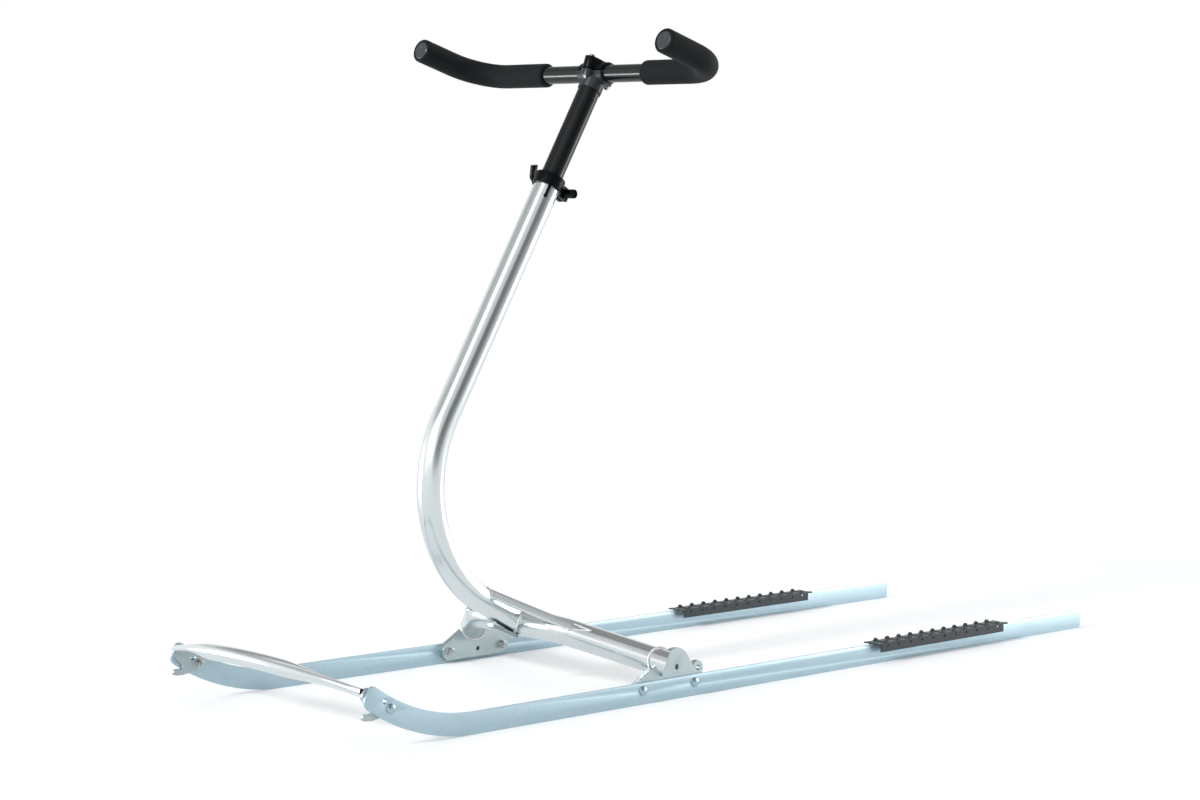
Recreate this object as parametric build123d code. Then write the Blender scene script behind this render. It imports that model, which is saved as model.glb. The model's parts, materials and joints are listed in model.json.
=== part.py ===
from build123d import *
from math import asin, cos, degrees, radians, sin
import os

# A kick sled: two steel runners on edge, a welded tube frame with one bent mast, and a bullhorn
# handlebar on a post that slides in the mast.
# Lengths are in millimetres. X points forward, Y to the left and Z up, with the floor at Z = 0.
# While the sled is drawn, X = 0 is the front bolt of the frame's brackets. When it is written,
# every piece moves by SHIFT, so that the origin is the middle of the sled's footprint.

# Runners: steel strip on edge, straight to CURVE_X and then curved up
TRACK = 414.0
STRIP_T = 4.0
STRIP_H = 30.0
REAR_X = -1039.0
CURVE_X = 310.0
CURVE_R = 330.0
TIP_ANGLE = 35.6
TIP_ROUND_LOW = 14.0
TIP_ROUND_HIGH = 8.0
REAR_ROUND = 7.0
BOLT_R = 3.2
TIP_BOLT = (27.3, 16.5)
TIP_SPARE = (29.9, 21.0)
SPARE_R = 4.0

# Frame brackets: plates on the runners' inner faces, as circles (X, Z, radius) joined by tangents
PLATE_T = 8.0
BOLT_FRONT = (0.0, 19.0, 14.0)
BOLT_REAR = (-104.0, 19.0, 13.0)
HUB = (-70.0, 44.0, 27.0)
EAR = (-114.0, 38.0, 10.5)
PLATE_HOLE_R = 4.0
MIDDLE_HOLE = (-56.0, 17.5)
CROTCH_R = 7.0

# Frame tubes
TUBE_R = 19.05
CROSS_WALL = 2.5
CROSS_X = 43.0
CROSS_Z = 93.0
CROSS_HALF = 85.0
CROSS_BEND = 60.0
CROSS_END = (-46.0, 52.0)

# Mast and handlebar post: both lean back from the upright by LEAN
LEAN = 30.2
BAR_X = -92.1
BAR_Z = 872.5
FOOT_ANGLE = 28.0
MAST_BEND = 190.0
POST_R = 15.9
POST_WALL = 2.2
SLIDE_GAP = 0.075
MAST_TOP = 174.0
SLITS = (60, 120, 240, 300)
SLIT_END = 208.0
SLIT_W = 4.4
SLIT_HOLE_R = 3.0
POST_TOP = 17.0
POST_END = 337.5

# Collar with its quick release: heights are distances down the mast's axis from the bar
COLLAR_TOP = 173.0
COLLAR_END = 191.0
COLLAR_R = 22.0
LUG_X = -29.5
LUG_BACK = 8.0
LUG_IN = 1.5
LUG_OUT = 8.5
SKEWER_R = 2.9
NUT_R = 6.5
NUT_LENGTH = 18.5
CAM_R = 7.0
CAM_Y = -17.5

# Bar clamp: its split leans back by CLAMP_LEAN, and it has one bolt in front and two behind
CLAMP_LEAN = 19.0
CLAMP_HALF = 24.0
CLAMP_R = 16.5
CLAMP_EARS = ((17.4, 0.0, 9.5), (-19.0, 6.0, 6.5), (-19.0, -6.0, 6.5))
CAP_HIGH = 18.5
EAR_LOW = 10.0
SPLIT = 1.0
CLAMP_BOLT_R = 2.7
NOSE = (21.0, -8.0, 7.0)
NOSE_BOLT_R = 3.0
SOCKET_R = 17.4
SOCKET_END = 29.0

# Handlebar and grips: the horns turn forward and rise by HORN_RISE
BAR_R = 12.7
BAR_WALL = 2.2
BAR_GAP = 0.05
BAR_STRAIGHT = 187.0
HORN_R = 60.0
HORN_LENGTH = 65.0
HORN_RISE = 16.04
GRIP_R = 17.4
GRIP_START = 100.0
GRIP_ROUND = 4.0
PLUG_LENGTH = 14.0
PLUG_HEAD = 2.0

# Braces from the mast's sides to the cross tube, each a bar with a rectangular section
BRACE_HIGH = (108.0, 17.0, 139.5)
BRACE_LOW = (50.0, 97.0, 103.5)
BRACE_W = 12.0
BRACE_T = 6.0
BRACE_LEAN = 38.0

# Tow eye under the mast's foot
EYE_HOLE = (92.0, 91.0)
EYE_R = 10.5
EYE_BACK = 42.0
EYE_HOLE_R = 3.5
EYE_T = 5.0
EYE_TILT = 24.0

# Front bow and its hooks
BOW_END = (485.0, 71.0)
BOW_RISE_ANGLE = 30.5
BOW_SAG = 47.0
BOW_R = 11.0
BOW_FLAT = (26.0, 9.0)
BOW_PINCH = 0.02
BOW_ROUND_TO = 70.0
BOW_FLAT_FROM = 150.0
HOOK_T = 5.0
HOOK_BACK = (454.0, 52.5, 9.5)
HOOK_TOP = (487.0, 71.0, 10.0)
HOOK_HEEL = (481.0, 48.0, 9.2)
HOOK_JAW = (491.4, 44.0, 4.6)
HOOK_SLOT = (484.5, 51.0, 3.6)

# Treads: ribbed channels over the runners' top edges
TREAD_FRONT = -505.0
TREAD_REAR = -812.0
TREAD_W = 25.4
TREAD_T = 2.2
TREAD_SKIRT = 14.0
TREAD_EAR = 9.0
TOOTH_COUNT = 11
TOOTH = (9.0, 4.0, 4.0)

RUNNER_Y = TRACK / 2 - STRIP_T / 2
PLATE_Y = TRACK / 2 - STRIP_T
PLATE_IN = PLATE_Y - PLATE_T
LEFT, RIGHT = 1, -1


def leaning(angle):
    """The plane across an upright through the bar's middle that leans back by an angle."""
    turn = radians(angle)
    ahead, up = (cos(turn), 0, sin(turn)), (-sin(turn), 0, cos(turn))
    return Plane(origin=(BAR_X, 0, BAR_Z), x_dir=ahead, z_dir=up)


lean = radians(LEAN)
head = leaning(LEAN)
clamp = leaning(CLAMP_LEAN)

BOW_HALF = PLATE_Y - HOOK_T
BOW_RADIUS = (BOW_HALF**2 + BOW_SAG**2) / (2 * BOW_SAG)
BOW_FORWARD = BOW_SAG * cos(radians(BOW_RISE_ANGLE))
FRONT_X = BOW_END[0] + BOW_FORWARD + BOW_R
SHIFT = -(FRONT_X + REAR_X) / 2


def slab(outline, low_y, high_y):
    """A drawing in X and Z, made solid from low_y to high_y."""
    start = Plane(origin=(0, low_y, 0), x_dir=(1, 0, 0), z_dir=(0, -1, 0))
    return extrude(start * outline, amount=low_y - high_y)


def mirrored(side, near, far):
    """Low and high Y of something between near and far from the middle, on one side."""
    return sorted((side * near, side * far))


def hull_of(*circles):
    """The outline round several circles given as (X, Z, radius)."""
    edges = ShapeList()
    for x, z, radius in circles:
        edges += (Pos(x, z) * Circle(radius)).edges()
    return make_hull(edges)


def on_curve(angle, inset):
    """X and Z of a point in the front curve: degrees round it, and inset from its lower edge."""
    radius = CURVE_R - inset
    return (CURVE_X + radius * sin(radians(angle)), CURVE_R - radius * cos(radians(angle)))


def along(path, section, in_bends=None):
    """A section carried along a path of lines and arcs, with another section in its bends."""
    piece = Part()
    for edge in path.edges():
        start, heading = edge @ 0, edge % 0
        place = Plane(origin=start, z_dir=heading)
        if edge.geom_type == GeomType.LINE:
            piece += extrude(place * section, amount=edge.length)
        else:
            spoke = start - edge.arc_center
            axis = Axis(edge.arc_center, spoke.cross(heading))
            piece += revolve(place * (in_bends or section), axis, degrees(edge.length / edge.radius))
    return piece


def tube_along(path, radius, bore):
    """A tube with closed ends: its bends stay solid inside, since nothing shows through them."""
    return along(path, Circle(radius) - Circle(bore), Circle(radius))


def runner(side):
    lower = CenterArc((CURVE_X, CURVE_R), CURVE_R, -90, TIP_ANGLE)
    upper = CenterArc((CURVE_X, CURVE_R), CURVE_R - STRIP_H, -90, TIP_ANGLE)
    outline = make_face([
        Line((REAR_X, 0), lower @ 0),
        lower,
        Line(lower @ 1, upper @ 1),
        upper,
        Line(upper @ 0, (REAR_X, STRIP_H)),
        Line((REAR_X, STRIP_H), (REAR_X, 0)),
    ])
    outline = fillet(outline.vertices().sort_by(Axis.X)[-1], TIP_ROUND_LOW)
    outline = fillet(outline.vertices().sort_by(Axis.Y)[-1], TIP_ROUND_HIGH)
    corners = outline.vertices().sort_by(Axis.X)
    outline = fillet(corners[:2], REAR_ROUND)
    holes = [
        (*BOLT_FRONT[:2], BOLT_R),
        (*BOLT_REAR[:2], BOLT_R),
        (*on_curve(*TIP_BOLT), BOLT_R),
        (*on_curve(*TIP_SPARE), SPARE_R),
    ]
    for x, z, radius in holes:
        outline -= Pos(x, z) * Circle(radius)
    return slab(outline, *mirrored(side, PLATE_Y, TRACK / 2))


def bracket(side):
    outline = hull_of(BOLT_FRONT, HUB, BOLT_REAR) + hull_of(EAR, BOLT_REAR)
    crotch = [v for v in outline.vertices() if v.Y > HUB[1] and EAR[0] < v.X < HUB[0]]
    if crotch:
        outline = fillet(sorted(crotch, key=lambda v: v.X)[0], CROTCH_R)
    holes = [
        (*BOLT_FRONT[:2], BOLT_R),
        (*BOLT_REAR[:2], BOLT_R),
        (*HUB[:2], PLATE_HOLE_R),
        (*EAR[:2], PLATE_HOLE_R),
        (*MIDDLE_HOLE, BOLT_R),
    ]
    for x, z, radius in holes:
        outline -= Pos(x, z) * Circle(radius)
    return slab(outline, *mirrored(side, PLATE_IN, PLATE_Y))


def cross_path():
    reach = 1.25
    run_x = (CROSS_END[0] - CROSS_X) * reach
    run_y = (PLATE_IN - CROSS_HALF) * reach
    run_z = (CROSS_END[1] - CROSS_Z) * reach
    end = (CROSS_X + run_x, CROSS_HALF + run_y, CROSS_Z + run_z)
    return FilletPolyline(
        (end[0], -end[1], end[2]),
        (CROSS_X, -CROSS_HALF, CROSS_Z),
        (CROSS_X, CROSS_HALF, CROSS_Z),
        end,
        radius=CROSS_BEND,
    )


def cross_tube():
    between = Box(400, 2 * PLATE_IN, 400)
    return tube_along(cross_path(), TUBE_R, TUBE_R - CROSS_WALL) & between


def mast_path(top):
    """The mast's axis from a distance below the bar, down and round to the cross tube."""
    down = (sin(lean), -cos(lean))
    foot = (cos(radians(FOOT_ANGLE)), sin(radians(FOOT_ANGLE)))
    gap_x = CROSS_X - BAR_X
    gap_z = CROSS_Z - BAR_Z
    reach = (gap_x * foot[1] - gap_z * foot[0]) / (down[0] * foot[1] - down[1] * foot[0])
    corner = (BAR_X + reach * down[0], 0, BAR_Z + reach * down[1])
    start = (BAR_X + top * down[0], 0, BAR_Z + top * down[1])
    return FilletPolyline(start, corner, (CROSS_X, 0, CROSS_Z), radius=MAST_BEND)


def mast():
    piece = tube_along(mast_path(MAST_TOP), TUBE_R, POST_R + SLIDE_GAP)
    piece -= Pos(CROSS_X, 0, CROSS_Z) * Rot(90, 0, 0) * Cylinder(TUBE_R, 4 * TUBE_R)
    slit_length = SLIT_END - MAST_TOP
    slit = Pos(TUBE_R, 0, -MAST_TOP - slit_length / 2) * Box(2 * TUBE_R, SLIT_W, slit_length)
    slit += Pos(TUBE_R, 0, -SLIT_END) * Rot(0, 90, 0) * Cylinder(SLIT_HOLE_R, 2 * TUBE_R)
    for turn in SLITS:
        piece -= head * (Rot(0, 0, turn) * slit)
    return piece


def brace(side):
    high = Vector(BRACE_HIGH[0], side * BRACE_HIGH[1], BRACE_HIGH[2])
    low = Vector(BRACE_LOW[0], side * BRACE_LOW[1], BRACE_LOW[2])
    run = low - high
    start = high - run.normalized() * 8
    up = Vector(0, 0, 1) - run.normalized() * run.normalized().Z
    wide = up.rotate(Axis((0, 0, 0), run), -side * BRACE_LEAN)
    section = Plane(origin=start, z_dir=run, x_dir=wide) * RectangleRounded(BRACE_W, BRACE_T, 1.5)
    piece = extrude(section, amount=run.length + 22)
    piece -= along(mast_path(MAST_TOP), Circle(TUBE_R))
    piece -= along(cross_path(), Circle(TUBE_R))
    return piece.solids().sort_by(SortBy.VOLUME)[-1]


def tow_eye():
    ring = Circle(EYE_R) + Pos(-EYE_BACK / 2, 0) * Rectangle(EYE_BACK, EYE_R * 2)
    ring -= Circle(EYE_HOLE_R)
    place = Pos(EYE_HOLE[0], 0, EYE_HOLE[1]) * Rot(0, -EYE_TILT, 0)
    piece = place * extrude(ring, amount=EYE_T / 2, both=True)
    piece -= Pos(CROSS_X, 0, CROSS_Z) * Rot(90, 0, 0) * Cylinder(TUBE_R, 6 * TUBE_R)
    return piece.solids().sort_by(SortBy.VOLUME)[-1]


def bow_plane():
    """The tilted plane that the bow's arc lies in, with its origin at the arc's centre."""
    rise = radians(BOW_RISE_ANGLE)
    back = BOW_SAG - BOW_RADIUS
    centre = (BOW_END[0] + back * cos(rise), 0, BOW_END[1] + back * sin(rise))
    return Plane(origin=centre, x_dir=(cos(rise), 0, sin(rise)), z_dir=(-sin(rise), 0, cos(rise)))


def bow_angle(y):
    """Degrees round the bow's arc from its middle to a place y to the side."""
    return degrees(asin(y / BOW_RADIUS))


def bow_section(side, y, width, height):
    """The bow's section y from the middle: a slot that lies flat in the bow's plane."""
    place = Rot(0, 0, side * bow_angle(y)) * Pos(BOW_RADIUS, 0, 0) * Rot(90, 0, 0)
    return bow_plane() * (place * SlotOverall(width, height))


def front_bow():
    """A round bar bent to an arc and pressed flat towards its ends."""
    axis = Axis(bow_plane().origin, bow_plane().z_dir)
    turn = bow_angle(BOW_ROUND_TO)
    piece = revolve(bow_section(RIGHT, BOW_ROUND_TO, 2 * BOW_R + BOW_PINCH, 2 * BOW_R), axis, 2 * turn)
    for side in (LEFT, RIGHT):
        bare = bow_section(side, BOW_ROUND_TO, 2 * BOW_R + BOW_PINCH, 2 * BOW_R)
        full = bow_section(side, BOW_FLAT_FROM, *BOW_FLAT)
        reach = bow_angle(BOW_HALF + 6) - bow_angle(BOW_FLAT_FROM)
        piece += loft([bare, full], ruled=True) + revolve(full, axis, side * reach)
    return piece & Box(2000, 2 * BOW_HALF, 400)


def bow_hook(side):
    """The plate that bolts the bow's end to the runner, with an open hook under it."""
    outline = hull_of(HOOK_BACK, HOOK_TOP, HOOK_HEEL) + hull_of(HOOK_HEEL, HOOK_JAW)
    x, z, radius = HOOK_SLOT
    wedge = Polygon(
        (x, z + radius),
        (x + 40, z + radius + 40),
        (x + 40, z - radius + 2),
        (x, z - radius),
        align=None,
    )
    outline -= wedge + Pos(x, z) * Circle(radius)
    outline -= Pos(*on_curve(*TIP_BOLT)) * Circle(BOLT_R)
    outline -= Pos(*on_curve(*TIP_SPARE)) * Circle(SPARE_R + 1)
    return slab(outline, *mirrored(side, PLATE_Y - HOOK_T, PLATE_Y))


def tread(side):
    inside = TREAD_W - 2 * TREAD_T
    top = STRIP_H + TREAD_T
    length = TREAD_FRONT - TREAD_REAR
    middle = (TREAD_FRONT + TREAD_REAR) / 2
    piece = Pos(middle, 0, STRIP_H + TREAD_T / 2) * Box(length, TREAD_W, TREAD_T)
    for edge in (-1, 1):
        y = edge * (TREAD_W - TREAD_T) / 2
        piece += Pos(middle, y, top - TREAD_SKIRT / 2) * Box(length, TREAD_T, TREAD_SKIRT)
    for end, out in ((TREAD_FRONT, 1), (TREAD_REAR, -1)):
        flare = Polygon(
            (0, -TREAD_W / 2),
            (out * TREAD_EAR, -TREAD_W / 2 - 2),
            (out * TREAD_EAR * 0.5, 0),
            (out * TREAD_EAR, TREAD_W / 2 + 2),
            (0, TREAD_W / 2),
            align=None,
        )
        piece += Pos(end, 0, STRIP_H) * extrude(flare, amount=TREAD_T, dir=(0, 0, 1))
    pitch = length / TOOTH_COUNT
    long, wide, tall = TOOTH
    for i in range(TOOTH_COUNT):
        x = TREAD_REAR + pitch * (i + 0.5)
        piece += Pos(x, 0, top + 0.5) * Box(3.0, inside, 1.4)
        for edge in (-1, 1):
            y = edge * (TREAD_W - wide) / 2
            tooth = Polygon((-long / 2, 0), (long / 2, 0), (1.2, tall), (-1.2, tall), align=None)
            piece += slab(Pos(x, top - 0.2) * tooth, y - wide / 2, y + wide / 2)
            notch = Pos(x, edge * TREAD_W / 2, top - TREAD_T - 2.2) * Box(5.0, 3 * TREAD_T, 3.0)
            piece -= notch
    return Pos(0, side * RUNNER_Y, 0) * piece


def collar():
    height = COLLAR_END - COLLAR_TOP
    middle = -(COLLAR_END + COLLAR_TOP) / 2
    lug_x = LUG_X - LUG_BACK
    piece = Pos(0, 0, middle) * Cylinder(COLLAR_R, height)
    piece += Pos(lug_x / 2, 0, middle) * Box(-lug_x, 2 * LUG_OUT, height)
    piece -= Pos(0, 0, middle) * Cylinder(TUBE_R, height + 2)
    piece -= Pos(lug_x, 0, middle) * Box(-2 * LUG_X, 2 * LUG_IN, height + 2)
    piece -= Pos(LUG_X, 0, middle) * Rot(90, 0, 0) * Cylinder(SKEWER_R, 4 * LUG_OUT)
    return head * piece


def skewer():
    """The rod through the collar's lugs with its round nut."""
    middle = -(COLLAR_END + COLLAR_TOP) / 2
    low, high = CAM_Y, LUG_OUT + NUT_LENGTH - 3
    across = Rot(90, 0, 0)
    rod = Pos(LUG_X, (low + high) / 2, middle) * across * Cylinder(SKEWER_R, high - low)
    nut = Pos(LUG_X, LUG_OUT + NUT_LENGTH / 2, middle) * across * Cylinder(NUT_R, NUT_LENGTH)
    return head * (rod + nut)


def lever():
    """The quick-release lever: a cam beside the lug, and an arm that wraps round the collar."""
    middle = -(COLLAR_END + COLLAR_TOP) / 2
    bore = Pos(LUG_X, CAM_Y, middle) * Rot(90, 0, 0) * Cylinder(SKEWER_R + 0.05, 4 * CAM_R)
    cam = Pos(LUG_X, CAM_Y, middle) * Cylinder(CAM_R, 13)
    path = FilletPolyline(
        (LUG_X - 1, CAM_Y - 5, middle),
        (LUG_X + 16, CAM_Y - 13, middle + 1),
        (8, CAM_Y - 11, middle + 6),
        (17, CAM_Y - 7, middle + 19),
        radius=9,
    )
    section = Plane(origin=path @ 0, z_dir=path % 0, x_dir=(0, 0, 1)) * Rectangle(11, 4)
    return head * (cam + sweep(section, path=path) - bore)


def washer():
    middle = -(COLLAR_END + COLLAR_TOP) / 2
    ring = Cylinder(6.5, 1) - Cylinder(SKEWER_R + 0.05, 1)
    return head * (Pos(LUG_X, -LUG_OUT - 0.5, middle) * Rot(90, 0, 0) * ring)


def post():
    outer = extrude(Circle(POST_R) - Circle(POST_R - POST_WALL), amount=POST_END - POST_TOP)
    return head * (Pos(0, 0, -POST_END) * outer)


def clamp_half(low, high):
    """One half of the bar clamp, from low to high above the bar's axis: its saddle and its ears."""
    ears = Pos(0, 0, low) * extrude(hull_of(*CLAMP_EARS), amount=high - low)
    for x, y, _ in CLAMP_EARS:
        ears -= Pos(x, y, 0) * Cylinder(CLAMP_BOLT_R, 100)
    saddle = Rot(90, 0, 0) * Cylinder(CLAMP_R, 2 * CLAMP_HALF)
    middle = SPLIT + 50 if low > 0 else -SPLIT - 50
    saddle &= Pos(0, 0, middle) * Box(200, 200, 100)
    return clamp * (ears + saddle)


def bar_bore():
    return Pos(BAR_X, 0, BAR_Z) * Rot(90, 0, 0) * Cylinder(BAR_R + BAR_GAP, 4 * CLAMP_HALF)


def clamp_body():
    """The lower half, with a socket for the post and a nose in front."""
    reach, height, radius = NOSE
    nose = Pos(reach / 2, 0, height) * Rot(0, 90, 0) * Cylinder(radius, reach)
    nose -= Pos(reach, 0, height) * Rot(0, 90, 0) * Cylinder(NOSE_BOLT_R, 10)
    piece = clamp_half(-EAR_LOW, -SPLIT) + clamp * nose
    piece += head * (Pos(0, 0, -SOCKET_END) * extrude(Circle(SOCKET_R), amount=SOCKET_END - 10))
    piece -= head * (Pos(0, 0, -SOCKET_END - 1) * extrude(Circle(POST_R), amount=SOCKET_END + 1 - POST_TOP))
    return piece - bar_bore()


def clamp_cap():
    return clamp_half(SPLIT, CAP_HIGH) - bar_bore()


def horn_point(across, ahead):
    """A point of the bar's bent plane: across along Y, and ahead of the bar's straight part."""
    rise = radians(HORN_RISE)
    return (BAR_X + ahead * cos(rise), across, BAR_Z + ahead * sin(rise))


def bar_path(side, start):
    """One half of the handlebar's axis, from start out along Y to its end."""
    out = BAR_STRAIGHT + HORN_R
    return FilletPolyline(
        horn_point(side * start, 0),
        horn_point(side * out, 0),
        horn_point(side * out, HORN_R + HORN_LENGTH),
        radius=HORN_R,
    )


def handlebar():
    out = BAR_STRAIGHT + HORN_R
    reach = HORN_R + HORN_LENGTH - PLUG_HEAD
    path = FilletPolyline(
        horn_point(-out, reach),
        horn_point(-out, 0),
        horn_point(out, 0),
        horn_point(out, reach),
        radius=HORN_R,
    )
    return tube_along(path, BAR_R, BAR_R - BAR_WALL)


def grip(side):
    piece = along(bar_path(side, GRIP_START), Circle(GRIP_R) - Circle(BAR_R))
    rims = piece.edges().filter_by(GeomType.CIRCLE)
    rims = rims.filter_by(lambda e: abs(e.radius - GRIP_R) < 0.01)
    inner = rims.filter_by(lambda e: abs(abs(e.arc_center.Y) - GRIP_START) < 0.1)
    mouth = rims.sort_by(Axis.X)[-1:]
    return chamfer(inner + mouth, GRIP_ROUND / 2)


def plug(side):
    """A round plug in the handlebar's end, its head inside the grip's mouth."""
    rise = radians(HORN_RISE)
    end = horn_point(side * (BAR_STRAIGHT + HORN_R), HORN_R + HORN_LENGTH)
    mouth = Plane(origin=end, x_dir=(0, 1, 0), z_dir=(cos(rise), 0, sin(rise)))
    stub = Pos(0, 0, -PLUG_LENGTH) * extrude(Circle(BAR_R - BAR_WALL), amount=PLUG_LENGTH)
    disc = Pos(0, 0, -PLUG_HEAD) * extrude(Circle(BAR_R), amount=PLUG_HEAD)
    return mouth * (stub + disc)


def main():
    nodes = {
        "cross_tube": cross_tube(),
        "mast": mast(),
        "tow_eye": tow_eye(),
        "front_bow": front_bow(),
        "post_collar": collar(),
        "collar_skewer": skewer(),
        "collar_lever": lever(),
        "collar_washer": washer(),
        "post": post(),
        "clamp_body": clamp_body(),
        "clamp_cap": clamp_cap(),
        "handlebar": handlebar(),
    }
    for side, name in ((LEFT, "left"), (RIGHT, "right")):
        nodes["runner_" + name] = runner(side)
        nodes["tread_" + name] = tread(side)
        nodes["bracket_" + name] = bracket(side)
        nodes["brace_" + name] = brace(side)
        nodes["bow_hook_" + name] = bow_hook(side)
        nodes["grip_" + name] = grip(side)
        nodes["bar_plug_" + name] = plug(side)
    os.makedirs("parts", exist_ok=True)
    for name, piece in nodes.items():
        export_step(Pos(SHIFT, 0, 0) * piece, f"parts/{name}.step")


main()
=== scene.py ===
"""The finishes and fine shapes of a kick sled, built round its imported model.

The sled is drawn in millimetres, X forward, Y to the left and Z up, with X = 0 at the front bolt of
the frame's brackets, as in the part's own drawing. piece() brings each mesh into the frame.
"""

import json
from math import asin, ceil, cos, degrees, pi, radians, sin, tan, tau

import bmesh
import bpy
from mathutils import Matrix, Vector, noise
from mathutils.bvhtree import BVHTree


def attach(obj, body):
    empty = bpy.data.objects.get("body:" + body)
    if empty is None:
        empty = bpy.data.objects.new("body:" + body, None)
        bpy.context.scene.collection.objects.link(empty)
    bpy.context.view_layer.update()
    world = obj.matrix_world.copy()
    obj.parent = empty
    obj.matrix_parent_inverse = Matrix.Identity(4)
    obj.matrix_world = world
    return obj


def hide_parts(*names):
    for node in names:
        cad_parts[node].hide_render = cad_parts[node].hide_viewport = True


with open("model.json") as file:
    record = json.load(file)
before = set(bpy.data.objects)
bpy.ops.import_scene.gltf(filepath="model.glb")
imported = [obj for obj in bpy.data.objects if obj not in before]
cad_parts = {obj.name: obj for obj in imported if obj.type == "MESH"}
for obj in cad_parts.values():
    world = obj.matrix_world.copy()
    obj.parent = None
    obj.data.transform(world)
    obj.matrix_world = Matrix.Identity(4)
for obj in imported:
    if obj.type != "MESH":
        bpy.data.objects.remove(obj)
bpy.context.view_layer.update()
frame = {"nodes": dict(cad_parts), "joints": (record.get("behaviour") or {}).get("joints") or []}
joints = {joint["name"]: joint for joint in frame["joints"]}

MM = 0.001
SIDES = ((1, "left"), (-1, "right"))

# Driving sizes, in millimetres and degrees
BAR_X, BAR_Z = -92.1, 872.5
SHIFT = joints["bar_tilt"]["pos_m"][0] / MM - BAR_X
TO_FRAME = Matrix.Scale(MM, 4) @ Matrix.Translation((SHIFT, 0, 0))

TRACK = 414.0
STRIP_T, STRIP_H = 4.0, 30.0
REAR_X, CURVE_X, CURVE_R = -1039.0, 310.0, 330.0
TIP_ANGLE, TIP_ROUND_LOW, TIP_ROUND_HIGH, REAR_ROUND = 35.6, 14.0, 8.0, 7.0
TIP_BOLT, TIP_SPARE = (27.3, 16.5), (29.9, 21.0)
BOLT_R, SPARE_R = 3.2, 4.0
PLATE_Y = TRACK / 2 - STRIP_T
PLATE_T = 8.0
PLATE_IN = PLATE_Y - PLATE_T
PLATE_SKIN = 2.0  # what is left of a bracket's plate beyond the cross tube's end
BOLTS = ((0.0, 19.0), (-104.0, 19.0))

TUBE_R, TUBE_SIDES = 19.05, 72
CROSS_X, CROSS_Z, CROSS_HALF, CROSS_BEND = 43.0, 93.0, 85.0, 60.0
CROSS_END = (-46.0, 52.0)

LEAN, CLAMP_LEAN = radians(30.2), radians(19.0)
FOOT_ANGLE, MAST_BEND = radians(28.0), 190.0
POST_R, POST_CHAMFER, SLIDE_GAP = 15.9, 0.5, 0.075
BORE_R, BORE_DEPTH = POST_R + SLIDE_GAP, 300.0
MAST_TOP, SLIT_END, POST_TOP, POST_END = 174.0, 208.0, 17.0, 337.5
SLITS, SLIT_W, SLIT_HOLE_R = (60, 120, 240, 300), 4.4, 3.0
RING_BELOW = 7.0  # how far the mast's slit ring goes on below its slits
COLLAR_MIDDLE, LUG_X, LUG_OUT = 182.0, -29.5, 8.5
SKEWER_R, NUT_R, NUT_LENGTH, CAM_Y = 2.9, 6.5, 18.5, -17.5
CLAMP_BOLTS = ((17.4, 0.0), (-19.0, 6.0), (-19.0, -6.0))
CAP_HIGH, EAR_LOW = 18.5, 10.0
NOSE = (21.0, -8.0)

# Fasteners. Screws: radius and height of the head, radius of the shank. Nuts: radius and thickness.
# Washers: radius, bore and thickness
FRAME_BOLT, FRAME_NUT, FRAME_WASHER = (6.9, 2.9, 3.0), (5.7, 5.0), (6.6, 3.05, 1.2)
CLAMP_SCREW, CLAMP_NUT, NOSE_SCREW = (3.7, 4.2, 2.5), (4.3, 4.2), (4.6, 2.4, 2.9)
FRAME_BOLT_PAST, CLAMP_SCREW_PAST, NOSE_SCREW_GRIP = 8.0, 6.5, 4.0

BRACE_BEAD, TUBE_BEAD = 1.9, 2.1  # radii of the weld beads

BAR_R, BAR_STRAIGHT = 12.7, 187.0
HORN_R, HORN_LENGTH, HORN_RISE = 60.0, 65.0, radians(16.04)
GRIP_R, GRIP_START, GRIP_ROUND, GRIP_FIT = 17.4, 100.0, 4.0, 0.05
PLUG_HEAD = 2.0

BOW_END, BOW_RISE, BOW_SAG, BOW_R = (485.0, 71.0), radians(30.5), 47.0, 11.0
BOW_FLAT = (26.0, 9.0)
BOW_ROUND_TO, BOW_FLAT_FROM = 70.0, 150.0
BOW_SQUARE = 2.2  # how far a pressed end's section goes from an ellipse towards a rounded bar
HOOK_T = 5.0
BOW_HALF = PLATE_Y - HOOK_T
BOW_RADIUS = (BOW_HALF**2 + BOW_SAG**2) / (2 * BOW_SAG)

BRACES = ((108.0, 17.0, 139.5), (50.0, 97.0, 103.5))
BRACE_W, BRACE_T, BRACE_LEAN = 12.0, 6.0, radians(38.0)

HEAD = Vector((BAR_X, 0, BAR_Z))  # the handlebar's middle


def leaning(angle):
    """The place at the bar's middle whose Z leans back by an angle and whose X points ahead."""
    return Matrix.Translation(HEAD) @ Matrix.Rotation(-angle, 4, "Y")


HEAD_PLACE, CLAMP_PLACE = leaning(LEAN), leaning(CLAMP_LEAN)
MAST_UP = HEAD_PLACE.to_3x3() @ Vector((0, 0, 1))


# Mesh tools

def add(name, data):
    """A new object of some data, in the scene."""
    made = bpy.data.objects.new(name, data)
    bpy.context.scene.collection.objects.link(made)
    return made


def piece(name, bm, finish, body, nodes=(), sharp=20):
    """Makes a mesh drawn in millimetres a piece of the sled that moves with a body."""
    bmesh.ops.remove_doubles(bm, verts=bm.verts, dist=0.0005)
    bmesh.ops.recalc_face_normals(bm, faces=bm.faces)
    bm.transform(TO_FRAME)
    mesh = bpy.data.meshes.new(name)
    bm.to_mesh(mesh)
    bm.free()
    mesh.shade_smooth()
    mesh.set_sharp_from_angle(angle=radians(sharp))
    mesh.materials.append(finish)
    made = add(name, mesh)
    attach(made, body)
    if nodes:
        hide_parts(*nodes)
    return made


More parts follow.
